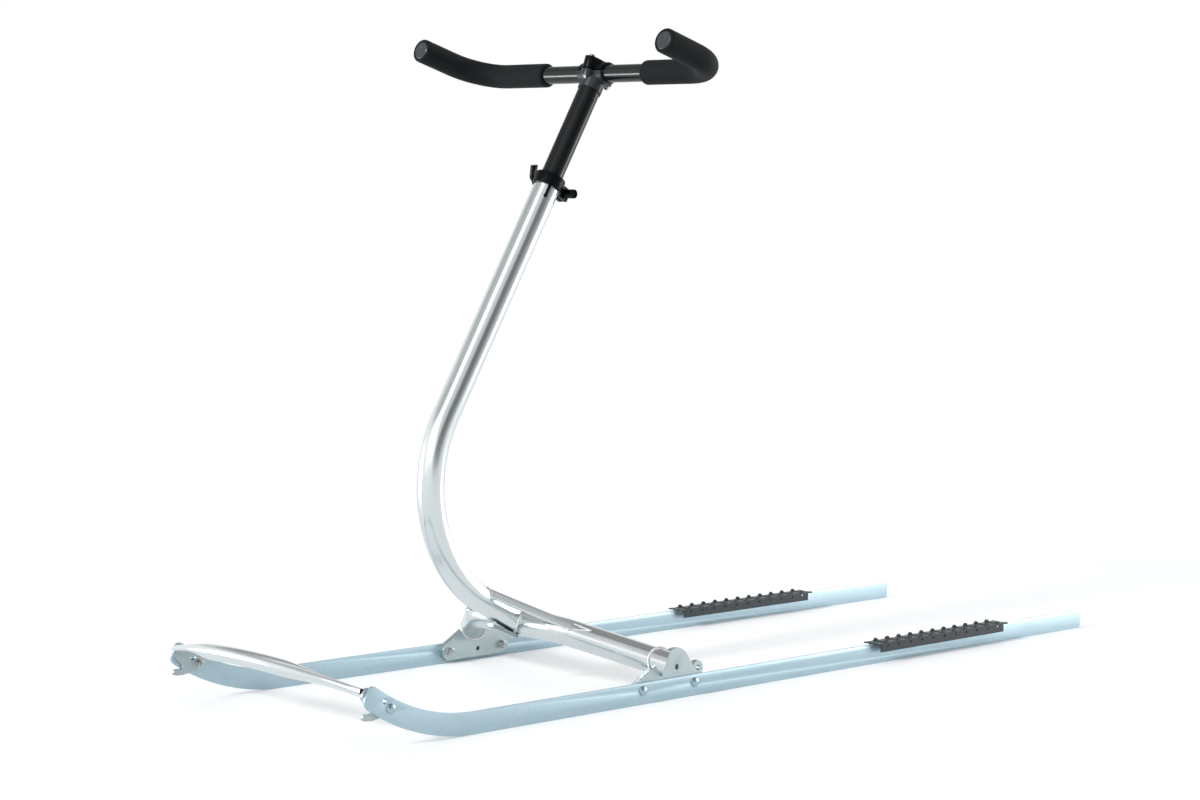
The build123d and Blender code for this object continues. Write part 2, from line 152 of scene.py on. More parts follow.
def bevel_sharp(bm, width, segments=2, angle=28):
    """Rounds every edge whose faces meet at more than an angle."""
    sharp = [e for e in bm.edges if len(e.link_faces) == 2 and e.calc_face_angle(0) > radians(angle)]
    bmesh.ops.bevel(
        bm, geom=sharp, offset=width, offset_type="OFFSET", segments=segments, profile=0.5,
        affect="EDGES", material=-1, clamp_overlap=True,
    )


def solid_mesh(node):
    """A copy of a solid's mesh, in millimetres."""
    bm = bmesh.new()
    bm.from_mesh(frame["nodes"][node].data)
    bm.transform(TO_FRAME.inverted())
    return bm


def rounded_copy(name, node, finish, body, edge, segments=2):
    """A piece with a solid's own form, its flat faces whole and its edges rounded."""
    bm = solid_mesh(node)
    bmesh.ops.remove_doubles(bm, verts=bm.verts, dist=0.002)
    bmesh.ops.dissolve_limit(bm, angle_limit=radians(0.6), verts=bm.verts, edges=bm.edges)
    bevel_sharp(bm, edge, segments)
    piece(name, bm, finish, body, [node])


def joined(*meshes):
    """Several meshes as one."""
    whole = meshes[0]
    for other in meshes[1:]:
        spare = bpy.data.meshes.new("spare")
        other.to_mesh(spare)
        other.free()
        whole.from_mesh(spare)
        bpy.data.meshes.remove(spare)
    return whole


def turned(profile, place, sides=48, capped=True):
    """A turned piece about its own Z from a profile of (radius, height) pairs."""
    bm = bmesh.new()
    verts = [bm.verts.new((radius, 0, height)) for radius, height in profile]
    edges = [bm.edges.new(pair) for pair in zip(verts, verts[1:])]
    bmesh.ops.spin(
        bm, geom=verts + edges, cent=(0, 0, 0), axis=(0, 0, 1), dvec=(0, 0, 0), angle=tau,
        steps=sides, use_merge=True, use_duplicate=False,
    )
    bmesh.ops.remove_doubles(bm, verts=bm.verts, dist=0.0005)
    if capped:
        bmesh.ops.holes_fill(bm, edges=[e for e in bm.edges if e.is_boundary], sides=0)
    bm.transform(place)
    return bm


def domed_head(place, radius, height, shank_r, grip):
    """A bolt with a domed head on the place's Z side, and its shank down the other way."""
    steps, rim = 8, 0.5
    angles = [step / steps * pi / 2 for step in range(steps + 1)]
    dome = [(radius * sin(angle), height * cos(angle) + rim) for angle in angles]
    return turned([*dome, (radius, 0), (shank_r, 0), (shank_r, -grip), (0, -grip)], place, sides=32)


def cap_screw(place, radius, height, shank_r, grip):
    """A screw with a cylindrical head, its rim rounded and a socket sunk in it."""
    socket_r, socket_floor = radius * 0.55, height * 0.45
    edge, rim = 0.2, 0.7
    profile = (
        (0, socket_floor), (socket_r, socket_floor), (socket_r, height - edge),
        (socket_r + edge, height), (radius - rim, height), (radius - edge, height - edge),
        (radius, height - rim), (radius, 0), (shank_r, 0), (shank_r, -grip), (0, -grip),
    )
    return turned(profile, place, sides=32)


def hex_nut(place, radius, thick):
    """A hexagonal nut that stands up the place's Z from its origin, its corners turned off."""
    corner = radius * 0.12
    bm = bmesh.new()
    up = place @ Matrix.Translation((0, 0, thick / 2))
    bmesh.ops.create_cone(
        bm, cap_ends=True, segments=6, radius1=radius, radius2=radius, depth=thick, matrix=up,
    )
    rims = [edge for edge in bm.edges if any(len(face.verts) == 6 for face in edge.link_faces)]
    bmesh.ops.bevel(
        bm, geom=rims, offset=corner, offset_type="OFFSET", segments=2, profile=0.5,
        affect="EDGES", material=-1, clamp_overlap=True,
    )
    return bm


def ring_washer(place, radius, bore, thick):
    """A flat washer that stands up the place's Z from its origin."""
    edge = 0.25
    profile = (
        (bore, 0), (bore, thick), (radius - edge, thick), (radius, thick - edge), (radius, 0), (bore, 0),
    )
    return turned(profile, place, sides=40, capped=False)


def bead(path, radius):
    """A weld bead round a closed path: overlapping drops, each with its own small difference."""
    drop_length, swell, swell_scale, ripple, ripple_step = 0.62, 0.16, 0.21, 0.06, 2.4
    bm = bmesh.new()
    legs = list(zip(path, path[1:] + path[:1]))
    total = sum((after - before).length for before, after in legs)
    count = max(3, round(total / (radius * drop_length)))
    for index in range(count):
        left = index / count * total
        for before, after in legs:
            reach = (after - before).length
            if left <= reach:
                break
            left -= reach
        heading = (after - before).normalized()
        centre = before + heading * left
        uneven = swell * noise.noise(centre * swell_scale)
        size = radius * (1 + uneven + ripple * sin(index * ripple_step))
        place = Matrix.Translation(centre) @ heading.to_track_quat("Z", "Y").to_matrix().to_4x4()
        stretch = Matrix.Diagonal((size, size, size * drop_length, 1))
        bmesh.ops.create_icosphere(bm, subdivisions=2, radius=1.0, matrix=place @ stretch)
    return bm


def cast_onto(node, points, heading):
    """Where points carried along a heading meet a solid, leaving out those that miss."""
    bm = solid_mesh(node)
    tree = BVHTree.FromBMesh(bm)
    bm.free()
    hits = [tree.ray_cast(Vector(point), heading)[0] for point in points]
    return [hit for hit in hits if hit is not None]


class Tube:
    """A round tube drawn ring by ring, by straight runs, turns and steps in its radius.

    Its attribute "unrolled" says where each point would be on a straight tube, so that a pattern
    can follow the tube round its bends.
    """

    def __init__(self, start, along, radius, sides=TUBE_SIDES, turn=None):
        self.bm = bmesh.new()
        self.unrolled = self.bm.verts.layers.float_vector.new("unrolled")
        self.centre = Vector(start)
        self.along = Vector(along).normalized()
        self.radius = radius
        turn = turn or self.along.to_track_quat("Z", "Y").to_matrix()
        place = Matrix.Translation(self.centre) @ turn.to_4x4()
        ring = bmesh.ops.create_circle(self.bm, segments=sides, radius=radius, matrix=place)
        self.verts = ring["verts"]
        for vert in self.verts:
            vert[self.unrolled] = place.inverted() @ vert.co * MM
        self.edges = list({edge for vert in self.verts for edge in vert.link_edges})

    def grow(self, advance):
        """A new ring in the last one's place, for its caller to move on by an advance."""
        made = bmesh.ops.extrude_edge_only(self.bm, edges=self.edges)["geom"]
        self.verts = [part for part in made if isinstance(part, bmesh.types.BMVert)]
        self.edges = [part for part in made if isinstance(part, bmesh.types.BMEdge)]
        ring = set(self.verts)
        self.edges = [edge for edge in self.edges if ring.issuperset(edge.verts)]
        for vert in self.verts:
            vert[self.unrolled] = vert[self.unrolled] + Vector((0, 0, advance * MM))

    def run(self, length, steps=1):
        """Goes straight on."""
        for _ in range(steps):
            self.grow(length / steps)
            bmesh.ops.translate(self.bm, vec=self.along * length / steps, verts=self.verts)
            self.centre += self.along * length / steps

    def turn(self, angle, radius, axis, steps=None):
        """Turns by an angle in radians about an axis, to the side that the right hand gives."""
        steps = steps or ceil(degrees(angle) / 2)
        axis = Vector(axis).normalized()
        middle = self.centre + axis.cross(self.along) * radius
        part = Matrix.Rotation(angle / steps, 3, axis)
        for _ in range(steps):
            self.grow(radius * angle / steps)
            bmesh.ops.rotate(self.bm, cent=middle, matrix=part, verts=self.verts)
            self.centre = middle + part @ (self.centre - middle)
            self.along = part @ self.along

    def step(self, advance, radius):
        """One ring further on, with another radius."""
        self.grow(advance)
        ratio = radius / self.radius
        bmesh.ops.scale(
            self.bm, vec=(ratio, ratio, ratio), space=Matrix.Translation(-self.centre), verts=self.verts,
        )
        bmesh.ops.translate(self.bm, vec=self.along * advance, verts=self.verts)
        self.centre += self.along * advance
        self.radius = radius

    def cap(self):
        """Closes the last ring with a face."""
        bmesh.ops.contextual_create(self.bm, geom=self.edges)


# Finishes

class Finish:
    """A material and the short calls that wire its nodes."""

    def __init__(self, name, colour, metal, rough):
        self.material = bpy.data.materials.new(name)
        self.material.use_nodes = True
        self.nodes = self.material.node_tree.nodes
        self.links = self.material.node_tree.links
        self.shader = self.nodes["Principled BSDF"]
        self.set(self.shader, "Base Color", (*colour, 1))
        self.set(self.shader, "Metallic", metal)
        self.set(self.shader, "Roughness", rough)

    def set(self, node, socket, value):
        """Gives a node's socket a value."""
        node.inputs[socket].default_value = value

    def link(self, output, node, socket):
        """Wires an output to a node's socket."""
        self.links.new(output, node.inputs[socket])

    def place(self, scale=(1, 1, 1), attribute=None):
        """Coordinates for a pattern: the piece's own, or a tube's unrolled ones."""
        if attribute:
            source = self.nodes.new("ShaderNodeAttribute")
            source.attribute_name = attribute
            output = source.outputs["Vector"]
        else:
            source = self.nodes.new("ShaderNodeTexCoord")
            output = source.outputs["Object"]
        mapping = self.nodes.new("ShaderNodeMapping")
        self.link(output, mapping, "Vector")
        self.set(mapping, "Scale", scale)
        return mapping.outputs["Vector"]

    def noise(self, vector, scale, detail, rough=0.55):
        """Cloudy noise, from 0 to 1."""
        node = self.nodes.new("ShaderNodeTexNoise")
        self.link(vector, node, "Vector")
        self.set(node, "Scale", scale)
        self.set(node, "Detail", detail)
        self.set(node, "Roughness", rough)
        return node.outputs["Fac"]

    def cells(self, vector, scale, out="Distance"):
        """Cells, by the distance from their middles or with a colour each."""
        node = self.nodes.new("ShaderNodeTexVoronoi")
        self.link(vector, node, "Vector")
        self.set(node, "Scale", scale)
        return node.outputs[out]

    def ramp(self, fac, low, high, to_low, to_high):
        """A value carried from one range to another, and held inside it."""
        node = self.nodes.new("ShaderNodeMapRange")
        node.clamp = True
        self.link(fac, node, "Value")
        self.set(node, "From Min", low)
        self.set(node, "From Max", high)
        self.set(node, "To Min", to_low)
        self.set(node, "To Max", to_high)
        return node.outputs["Result"]

    def blend(self, fac, first, second):
        """A colour between two."""
        node = self.nodes.new("ShaderNodeMix")
        node.data_type = "RGBA"
        self.link(fac, node, "Factor")
        for socket, colour in (("A", first), ("B", second)):
            target = [s for s in node.inputs if s.name == socket and s.type == "RGBA"][0]
            target.default_value = (*colour, 1)
        return [s for s in node.outputs if s.type == "RGBA"][0]

    def bump(self, height, strength, distance, after=None):
        """Raises the surface by a height, on top of another bump if one is given."""
        node = self.nodes.new("ShaderNodeBump")
        self.link(height, node, "Height")
        self.set(node, "Strength", strength)
        self.set(node, "Distance", distance)
        if after is not None:
            self.link(after, node, "Normal")
        self.link(node.outputs["Normal"], self.shader, "Normal")
        return node.outputs["Normal"]


def shade(colour, factor):
    """A colour made lighter or darker."""
    return tuple(min(1.0, part * factor) for part in colour)


def polished_tube(name, colour, rough=0.17):
    """Drawn aluminium tube, polished, with fine draw lines along it."""
    look = Finish(name, colour, metal=1.0, rough=rough)
    streaks = look.noise(look.place((1, 1, 0.012), attribute="unrolled"), 420.0, 3.0)
    clouds = look.noise(look.place((1, 1, 0.25), attribute="unrolled"), 26.0, 4.0)
    look.link(look.ramp(streaks, 0.3, 0.7, rough - 0.05, rough + 0.10), look.shader, "Roughness")
    look.link(look.blend(clouds, shade(colour, 0.94), shade(colour, 1.05)), look.shader, "Base Color")
    look.bump(streaks, 0.05, 0.0002)
    return look.material


def satin_aluminium(name, colour, rough=0.38, attribute=None):
    """Cut or extruded aluminium as it comes from the mill, a little mottled."""
    look = Finish(name, colour, metal=1.0, rough=rough)
    clouds = look.noise(look.place(attribute=attribute), 38.0, 6.0, 0.65)
    grain = look.noise(look.place((1, 1, 0.06), attribute=attribute), 900.0, 2.0)
    look.link(look.ramp(clouds, 0.3, 0.7, rough - 0.08, rough + 0.12), look.shader, "Roughness")
    look.link(look.blend(clouds, shade(colour, 0.88), shade(colour, 1.08)), look.shader, "Base Color")
    look.bump(grain, 0.12, 0.0002, look.bump(clouds, 0.15, 0.0006))
    return look.material


def zinc_strip(name, colour=(0.46, 0.60, 0.67)):
    """Zinc-plated strip steel: blue-grey, with faint rolling lines and spangles."""
    look = Finish(name, colour, metal=0.9, rough=0.42)
    lines = look.noise(look.place((0.03, 1, 1)), 700.0, 3.0)
    spangles = look.cells(look.place(), 260.0, out="Color")
    clouds = look.noise(look.place(), 9.0, 5.0)
    tone = look.blend(clouds, shade(colour, 0.95), shade(colour, 1.05))
    fleck = look.nodes.new("ShaderNodeHueSaturation")
    look.link(tone, fleck, "Color")
    look.link(look.ramp(spangles, 0.0, 1.0, 0.97, 1.03), fleck, "Value")
    look.link(fleck.outputs["Color"], look.shader, "Base Color")
    look.link(look.ramp(lines, 0.3, 0.7, 0.34, 0.52), look.shader, "Roughness")
    look.bump(lines, 0.15, 0.0002)
    return look.material


def gloss_black(name, colour=(0.0045, 0.006, 0.0068), rough=0.24, attribute="unrolled", shine=0.22):
    """Black anodised or painted metal, with faint lines along it."""
    look = Finish(name, colour, metal=0.0, rough=rough)
    look.set(look.shader, "Specular IOR Level", shine)
    streaks = look.noise(look.place((1, 1, 0.02), attribute=attribute), 500.0, 3.0)
    dust = look.noise(look.place(attribute=attribute), 60.0, 6.0, 0.7)
    look.link(look.ramp(streaks, 0.3, 0.7, rough - 0.06, rough + 0.08), look.shader, "Roughness")
    look.link(look.blend(dust, shade(colour, 0.8), shade(colour, 1.5)), look.shader, "Base Color")
    look.bump(streaks, 0.06, 0.0001)
    return look.material


def foam(name, colour=(0.0040, 0.0066, 0.0076)):
    """Closed-cell foam rubber: matt, with fine cells and a soft unevenness."""
    look = Finish(name, colour, metal=0.0, rough=0.72)
    look.set(look.shader, "Specular IOR Level", 0.15)
    look.set(look.shader, "Sheen Weight", 0.02)
    look.set(look.shader, "Sheen Roughness", 0.5)
    cells = look.cells(look.place(attribute="unrolled"), 1500.0)
    clouds = look.noise(look.place(attribute="unrolled"), 55.0, 5.0)
    fine = look.noise(look.place(attribute="unrolled"), 1100.0, 2.0)
    look.link(look.blend(clouds, shade(colour, 0.82), shade(colour, 1.25)), look.shader, "Base Color")
    look.link(look.ramp(fine, 0.3, 0.7, 0.62, 0.82), look.shader, "Roughness")
    look.bump(cells, 0.35, 0.0003, look.bump(clouds, 0.12, 0.0015))
    return look.material


def moulded(name, colour, rough, grain=900.0, shine=0.4):
    """Moulded plastic with a fine spark-eroded grain."""
    look = Finish(name, colour, metal=0.0, rough=rough)
    look.set(look.shader, "Specular IOR Level", shine)
    fine = look.noise(look.place(), grain, 3.0, 0.6)
    clouds = look.noise(look.place(), 45.0, 4.0)
    look.link(look.blend(clouds, shade(colour, 0.85), shade(colour, 1.3)), look.shader, "Base Color")
    look.link(look.ramp(fine, 0.3, 0.7, rough - 0.08, rough + 0.1), look.shader, "Roughness")
    look.bump(fine, 0.25, 0.0003)
    return look.material


def plated(name, colour=(0.62, 0.62, 0.61), rough=0.24):
    """Zinc-plated bolts and nuts."""
    look = Finish(name, colour, metal=1.0, rough=rough)
    clouds = look.noise(look.place(), 240.0, 4.0)
    look.link(look.blend(clouds, shade(colour, 0.85), shade(colour, 1.12)), look.shader, "Base Color")
    look.link(look.ramp(clouds, 0.3, 0.7, rough - 0.06, rough + 0.12), look.shader, "Roughness")
    look.bump(clouds, 0.08, 0.0002)
    return look.material


def weld_metal(name):
    """Weld bead: bright aluminium with a crust in its hollows."""
    look = Finish(name, (0.80, 0.81, 0.82), metal=1.0, rough=0.30)
    clouds = look.noise(look.place(), 420.0, 5.0, 0.65)
    look.link(look.blend(clouds, (0.50, 0.50, 0.50), (0.93, 0.94, 0.95)), look.shader, "Base Color")
    look.link(look.ramp(clouds, 0.3, 0.7, 0.22, 0.5), look.shader, "Roughness")
    look.bump(clouds, 0.35, 0.0005)
    return look.material


MAST_METAL = polished_tube("polished_aluminium_tube", (0.74, 0.79, 0.80))
BOW_METAL = polished_tube("polished_aluminium_bow", (0.76, 0.81, 0.82), 0.15)
FRAME_TUBE = satin_aluminium("satin_aluminium_tube", (0.72, 0.76, 0.77), 0.20, "unrolled")
FRAME_PLATE = satin_aluminium("satin_aluminium_plate", (0.46, 0.54, 0.555))
BRACE_METAL = satin_aluminium("satin_aluminium_bar", (0.66, 0.72, 0.73), 0.20)
ZINC = zinc_strip("zinc_plated_strip")
BLACK_TUBE = gloss_black("black_anodised_tube")
BLACK_CAST = gloss_black("black_cast", (0.0020, 0.0032, 0.0036), 0.30, None, 0.08)
FOAM = foam("foam_rubber")
GREY_CAST = gloss_black("grey_cast", (0.016, 0.019, 0.022), 0.34, None, 0.30)
BAR_BLACK = gloss_black("black_anodised_bar", (0.004, 0.007, 0.008), 0.18, shine=0.40)
TREAD_BLACK = moulded("tread_plastic", (0.020, 0.030, 0.035), 0.40)
PLUG_GREY = moulded("plug_plastic", (0.022, 0.030, 0.036), 0.32)
LEVER_BLACK = moulded("lever_black", (0.006, 0.007, 0.008), 0.34, 500.0, 0.2)
BLACK_PART = moulded("washer_plastic", (0.005, 0.005, 0.006), 0.45, shine=0.2)
BOLT_METAL = plated("plated_bolt")
ZINC_BOLT = plated("zinc_bolt_head", (0.42, 0.56, 0.62), 0.22)
DARK_BOLT = plated("dark_bolt", (0.20, 0.20, 0.21), 0.30)
WELD = weld_metal("weld_bead")


# Runners, treads and what is bolted to them

def on_curve(angle, inset):
    """X and Z of a point in the runner's front curve, as in the part's own drawing."""
    radius = CURVE_R - inset
    return CURVE_X + radius * sin(radians(angle)), CURVE_R - radius * cos(radians(angle))


class Outline:
    """A flat outline in X and Z, drawn by lines and arcs from a first point, with round holes."""

    def __init__(self, x, z):
        self.bm = bmesh.new()
        self.pen = self.bm.verts.new((x, 0, z))

    def line(self, x, z):
        """Draws a line to a point."""
        made = bmesh.ops.extrude_vert_indiv(self.bm, verts=[self.pen])["verts"][0]
        made.co = (x, 0, z)
        self.pen = made

    def arc(self, x, z, angle, steps):
        """Goes round a centre by an angle in degrees, positive from X towards Z."""
        last = bmesh.ops.spin(
            self.bm, geom=[self.pen], cent=(x, 0, z), axis=(0, -1, 0), dvec=(0, 0, 0),
            angle=radians(angle), steps=steps, use_merge=False, use_duplicate=False,
        )["geom_last"]
        self.pen = [part for part in last if isinstance(part, bmesh.types.BMVert)][0]

    def hole(self, x, z, radius, sides=32):
        """A round hole about a point."""
        place = Matrix.Translation((x, 0, z)) @ Matrix.Rotation(pi / 2, 4, "X")
        bmesh.ops.create_circle(self.bm, segments=sides, radius=radius, matrix=place)

    def solid(self, low, high):
        """The outline made solid from low to high Y."""
        bm = self.bm
        bmesh.ops.remove_doubles(bm, verts=bm.verts, dist=0.01)
        bmesh.ops.triangle_fill(bm, use_beauty=True, edges=bm.edges)
        bmesh.ops.translate(bm, vec=(0, low, 0), verts=bm.verts)
        made = bmesh.ops.extrude_face_region(bm, geom=bm.faces)["geom"]
        moved = [part for part in made if isinstance(part, bmesh.types.BMVert)]
        bmesh.ops.translate(bm, vec=(0, high - low, 0), verts=moved)
        bmesh.ops.recalc_face_normals(bm, faces=bm.faces)
        return bm

    def plate(self, low, high, width):
        """The same with whole faces, and its rims rounded by width."""
        bm = self.solid(low, high)
        bmesh.ops.dissolve_limit(bm, angle_limit=radians(0.2), verts=bm.verts, edges=bm.edges)
        bevel_sharp(bm, width, 3, 50)
        return bm


def runner_blade(side, name):
    """A runner: strip that curves up at the front, its corners rounded, with its bolt holes."""
    outline = Outline(REAR_X + REAR_ROUND, 0)
    outline.line(CURVE_X, 0)
    inset = degrees(asin(TIP_ROUND_LOW / (CURVE_R - TIP_ROUND_LOW)))
    outline.arc(CURVE_X, CURVE_R, TIP_ANGLE - inset, steps=30)
    outline.arc(*on_curve(TIP_ANGLE - inset, TIP_ROUND_LOW), 90 + inset, steps=12)
    inset_up = degrees(asin(TIP_ROUND_HIGH / (CURVE_R - STRIP_H + TIP_ROUND_HIGH)))
    high_x, high_z = on_curve(TIP_ANGLE - inset_up, STRIP_H - TIP_ROUND_HIGH)
    turn = radians(TIP_ANGLE)
    outline.line(high_x + TIP_ROUND_HIGH * cos(turn), high_z + TIP_ROUND_HIGH * sin(turn))
    outline.arc(high_x, high_z, 90 - inset_up, steps=10)
    outline.arc(CURVE_X, CURVE_R, -(TIP_ANGLE - inset_up), steps=30)
    outline.line(REAR_X + REAR_ROUND, STRIP_H)
    outline.arc(REAR_X + REAR_ROUND, STRIP_H - REAR_ROUND, 90, steps=8)
    outline.line(REAR_X, REAR_ROUND)
    outline.arc(REAR_X + REAR_ROUND, REAR_ROUND, 90, steps=8)
    for x, z in BOLTS:
        outline.hole(x, z, BOLT_R)
    outline.hole(*on_curve(*TIP_BOLT), BOLT_R)
    outline.hole(*on_curve(*TIP_SPARE), SPARE_R)
    low, high = sorted((side * PLATE_Y, side * TRACK / 2))
    bm = outline.plate(low, high, 0.55)
    piece(f"runner_blade_{name}", bm, ZINC, "frame", [f"runner_{name}"])


def through_bolt(side, name, x, z, inner):
    """A domed bolt through a runner, with a washer and a nut on the inner face."""
    outward = Matrix.Rotation(-side * pi / 2, 4, "X")
    head = Matrix.Translation((x, side * TRACK / 2, z)) @ outward
    back = Matrix.Translation((x, side * inner, z)) @ outward @ Matrix.Rotation(pi, 4, "X")
    on_washer = back @ Matrix.Translation((0, 0, FRAME_WASHER[2]))
    grip = TRACK / 2 - inner + FRAME_BOLT_PAST
    for part, bm, finish in (
        ("bolt", domed_head(head, *FRAME_BOLT, grip), ZINC_BOLT),
        ("washer", ring_washer(back, *FRAME_WASHER), BOLT_METAL),
        ("nut", hex_nut(on_washer, *FRAME_NUT), BOLT_METAL),
    ):
        piece(f"{name}_{part}", bm, finish, "frame")


# Frame tubes

def slit_ring(low, high):
    """The mast's top as a sheet with four keyhole slits, rolled into a ring about HEAD_PLACE's Z."""
    girth = tau * TUBE_R
    outline = Outline(0, low)
    outline.line(girth, low)
    outline.line(girth, high)
    foot = SLIT_HOLE_R * cos(asin(SLIT_W / 2 / SLIT_HOLE_R))
    keyhole = 360 - 2 * degrees(asin(SLIT_W / 2 / SLIT_HOLE_R))
    for angle in reversed(SLITS):
        middle = radians(angle) * TUBE_R
        outline.line(middle + SLIT_W / 2, high)
        outline.line(middle + SLIT_W / 2, foot - SLIT_END)
        outline.arc(middle, -SLIT_END, -keyhole, steps=24)
        outline.line(middle - SLIT_W / 2, high)
    outline.line(0, high)
    outline.line(0, low)
    bm = outline.solid(0, TUBE_R - BORE_R)
    # The sheet's two ends meet once it is rolled, so their faces go
    upright = [face for face in bm.faces if face.normal.x**2 > 0.99]
    seam = [face for face in upright if not 1 < face.calc_center_median().x < girth - 1]
    bmesh.ops.delete(bm, geom=seam, context="FACES_ONLY")
    for step in range(1, TUBE_SIDES):
        parts = list(bm.verts) + list(bm.edges) + list(bm.faces)
        cut = (step / TUBE_SIDES * girth, 0, 0)
        bmesh.ops.bisect_plane(bm, geom=parts, plane_co=cut, plane_no=(1, 0, 0))
    unrolled = bm.verts.layers.float_vector.new("unrolled")
    for vert in bm.verts:
        angle, radius = vert.co.x / TUBE_R, TUBE_R - vert.co.y
        vert.co = (radius * cos(angle), radius * sin(angle), vert.co.z)
        vert[unrolled] = vert.co * MM
    bm.transform(HEAD_PLACE)
    return bm


def mast_tube():
    """The mast: its slit top, its straight part, its bend and its foot on the cross tube."""
    foot = Vector((cos(FOOT_ANGLE), 0, sin(FOOT_ANGLE)))
    gap = Vector((CROSS_X, 0, CROSS_Z)) - HEAD
    to_corner = gap.cross(foot).length / MAST_UP.cross(foot).length
    corner = HEAD - MAST_UP * to_corner
    turn = (-MAST_UP).angle(-foot)
    shorten = MAST_BEND * tan(turn / 2)
    slit_low = SLIT_END + RING_BELOW
    tube = Tube(HEAD - MAST_UP * (MAST_TOP + BORE_DEPTH), MAST_UP, BORE_R, turn=HEAD_PLACE.to_3x3())
    tube.cap()
    tube.run(MAST_TOP + BORE_DEPTH - slit_low)
    tube.step(0, TUBE_R)
    tube.along = -tube.along
    tube.run(to_corner - shorten - slit_low, steps=12)
    tube.turn(turn, MAST_BEND, (0, 1, 0), steps=72)
    tube.run((corner - HEAD - gap).length - shorten, steps=3)
    tube.cap()
    whole = joined(tube.bm, slit_ring(-slit_low, -MAST_TOP))
    piece("mast_tube", whole, MAST_METAL, "frame", ["mast"], sharp=40)


def cross_member():
    """The arched cross tube, from bracket to bracket."""
    leg = Vector((CROSS_END[0] - CROSS_X, PLATE_IN - CROSS_HALF, CROSS_END[1] - CROSS_Z))
    into_plate = 1 + (PLATE_T - PLATE_SKIN) / (PLATE_IN - CROSS_HALF)
    corner = Vector((CROSS_X, CROSS_HALF, CROSS_Z))
    start = corner + leg * into_plate
    heading = (corner - start).normalized()
    turn = heading.angle(Vector((0, -1, 0)))
    shorten = CROSS_BEND * tan(turn / 2)
    axis = heading.cross(Vector((0, -1, 0)))
    tube = Tube(start, heading, TUBE_R)
    tube.cap()
    tube.run((corner - start).length - shorten, steps=4)
    tube.turn(turn, CROSS_BEND, axis)
    tube.run(2 * CROSS_HALF - 2 * shorten, steps=6)
    down = Vector((leg.x, -leg.y, leg.z)).normalized()
    tube.turn(turn, CROSS_BEND, tube.along.cross(down))
    tube.run((corner - start).length - shorten, steps=4)
    tube.cap()
    piece("cross_member", tube.bm, FRAME_TUBE, "frame", ["cross_tube"], sharp=40)


def weld(name, bm):
    """A piece of weld metal on the frame."""
    piece(name, bm, WELD, "frame", sharp=60)


def brace_bar(side, name):
    """A brace, and the beads where its four sides meet the mast and the cross tube."""
    rounded_copy(
        f"brace_bar_{name}", f"brace_{name}", BRACE_METAL, "frame", edge=0.3,
    )
    high, low = (Vector((x, side * y, z)) for x, y, z in BRACES)
    run = (low - high).normalized()
    upright = (Vector((0, 0, 1)) - run * run.z).normalized()
    up = Matrix.Rotation(-side * BRACE_LEAN, 3, run) @ upright
    across = run.cross(up)
    corners = ((1, 1), (1, -1), (-1, -1), (-1, 1), (1, 1))
    steps, reach = 8, 0.48
    loop = []
    for (u1, v1), (u2, v2) in zip(corners, corners[1:]):
        for k in range(steps):
            u, v = u1 + (u2 - u1) * k / steps, v1 + (v2 - v1) * k / steps
            loop.append((high + low) / 2 + up * u * BRACE_W * reach + across * v * BRACE_T * reach)
    weld(f"brace_weld_{name}", joined(
        bead(cast_onto("mast", loop, -run), BRACE_BEAD),
        bead(cast_onto("cross_tube", loop, run), BRACE_BEAD),
    ))


def leg_weld(side, name):
    """The bead between a leg of the cross tube and its bracket."""
    leg = Vector((CROSS_END[0] - CROSS_X, side * (PLATE_IN - CROSS_HALF), CROSS_END[1] - CROSS_Z))
    run = leg.normalized()
    end = Vector((CROSS_END[0], side * PLATE_IN, CROSS_END[1]))
    turn = run.to_track_quat("Z", "Y").to_matrix()
    steps, proud = 60, 0.4
    loop = []
    for k in range(steps):
        angle = k / steps * tau
        spoke = turn @ Vector((cos(angle), sin(angle), 0)) * (TUBE_R + proud)
        loop.append(end + spoke - run * spoke.y / run.y)
    weld(f"leg_weld_{name}", bead(loop, TUBE_BEAD))


def foot_weld():
    """The saddle-shaped bead between the mast's foot and the cross tube."""
    foot = Vector((cos(FOOT_ANGLE), 0, sin(FOOT_ANGLE)))
    up = Vector((-foot.z, 0, foot.x))
    steps, proud = 72, 0.3
    loop = []
    for k in range(steps):
        angle = k / steps * tau
        spoke = up * cos(angle) + Vector((0, 1, 0)) * sin(angle)
        reach = foot * abs(sin(angle)) * TUBE_R
        loop.append(Vector((CROSS_X, 0, CROSS_Z)) + spoke * (TUBE_R + proud) + reach)
    weld("foot_weld", bead(loop, TUBE_BEAD))


